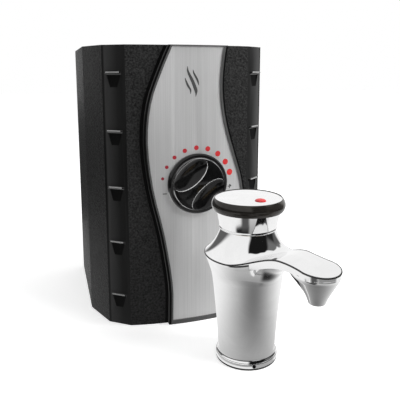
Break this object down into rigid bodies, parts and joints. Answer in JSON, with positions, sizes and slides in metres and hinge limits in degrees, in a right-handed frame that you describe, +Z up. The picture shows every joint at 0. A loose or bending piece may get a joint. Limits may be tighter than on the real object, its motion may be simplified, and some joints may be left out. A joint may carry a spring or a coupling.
{
  "type": "instant hot water dispenser",
  "caption": "Small boxed hot water tank with a round temperature knob on its front, and a push-button deck faucet with one short curved spout standing in front of it.",
  "frame": {"origin": "on the ground in the middle of the tank's footprint", "axes": "+Z up, the tank's front and the faucet's spout side face -Y, +X to the tank's right seen from the front"},
  "size_m": [0.2108, 0.3607, 0.29],
  "materials": {
    "black_plastic": "fine moulded texture",
    "grey_trim": "satin grey",
    "brushed_silver": "vertically brushed",
    "gloss_black": "high gloss",
    "dark_resin": "moulded, matte",
    "plated_steel": "zinc plated",
    "stainless_steel": "satin",
    "copper": "drawn copper",
    "brass": "machined",
    "black_rubber": "matte",
    "white_foam": "moulded bead foam",
    "chrome": "polished",
    "satin_chrome": "satin",
    "smoked_chrome": "dark, polished",
    "red_enamel": "gloss enamel"
  },
  "bodies": {
    "housing": {"front_cover": "black_plastic", "rear_cover": "black_plastic", "panel_trim": "grey_trim", "front_panel": "brushed_silver", "dial_bezel": "gloss_black", "thermostat": "dark_resin", "sensor_probe": "copper", "overheat_cutout": "dark_resin", "inner_vessel": "stainless_steel", "heating_element": "stainless_steel", "element_flange": "stainless_steel", "element_gasket": "black_rubber", "insulation_front": "white_foam", "insulation_rear": "white_foam", "fittings_tray": "black_plastic", "inlet_fitting": "brass", "outlet_fitting": "brass", "vent_fitting": "dark_resin", "dip_tube": "stainless_steel", "outlet_tube": "stainless_steel", "vent_tube": "stainless_steel", "drain_plug": "brass", "drain_seal": "black_rubber", "terminal_block": "dark_resin", "cord_gland": "black_rubber", "hanger_plate": "plated_steel", "case_screw_lower_left": "plated_steel", "case_screw_lower_right": "plated_steel", "case_screw_upper_left": "plated_steel", "case_screw_upper_right": "plated_steel", "faucet_body": "chrome", "base_ring": "chrome", "base_screw": "plated_steel", "deck_gasket": "black_rubber", "collar": "chrome", "outlet_insert": "dark_resin", "valve_cartridge": "brass", "cartridge_nut": "brass", "stem_seal": "black_rubber", "supply_tube": "copper", "hot_tube": "copper", "faucet_vent_tube": "copper", "tube_plate": "brass"},
    "knob": {"temperature_knob": "gloss_black", "thermostat_shaft": "plated_steel"},
    "button": {"button_cap": "smoked_chrome", "button_disc": "satin_chrome", "button_dot": "red_enamel", "valve_stem": "stainless_steel", "return_spring": "plated_steel"}
  },
  "joints": [
    {"name": "knob_turn", "type": "hinge", "parent": "housing", "child": "knob", "pos_m": [0.006, -0.101, 0.151], "axis": [0, 1, 0], "range_deg": [0, 232]},
    {"name": "button_press", "type": "slide", "parent": "housing", "child": "button", "axis": [0, 0, -1], "range_m": [0, 0.004], "stiffness_N_per_m": 2500, "springref_m": -0.001, "deforming": ["return_spring"]}
  ]
}
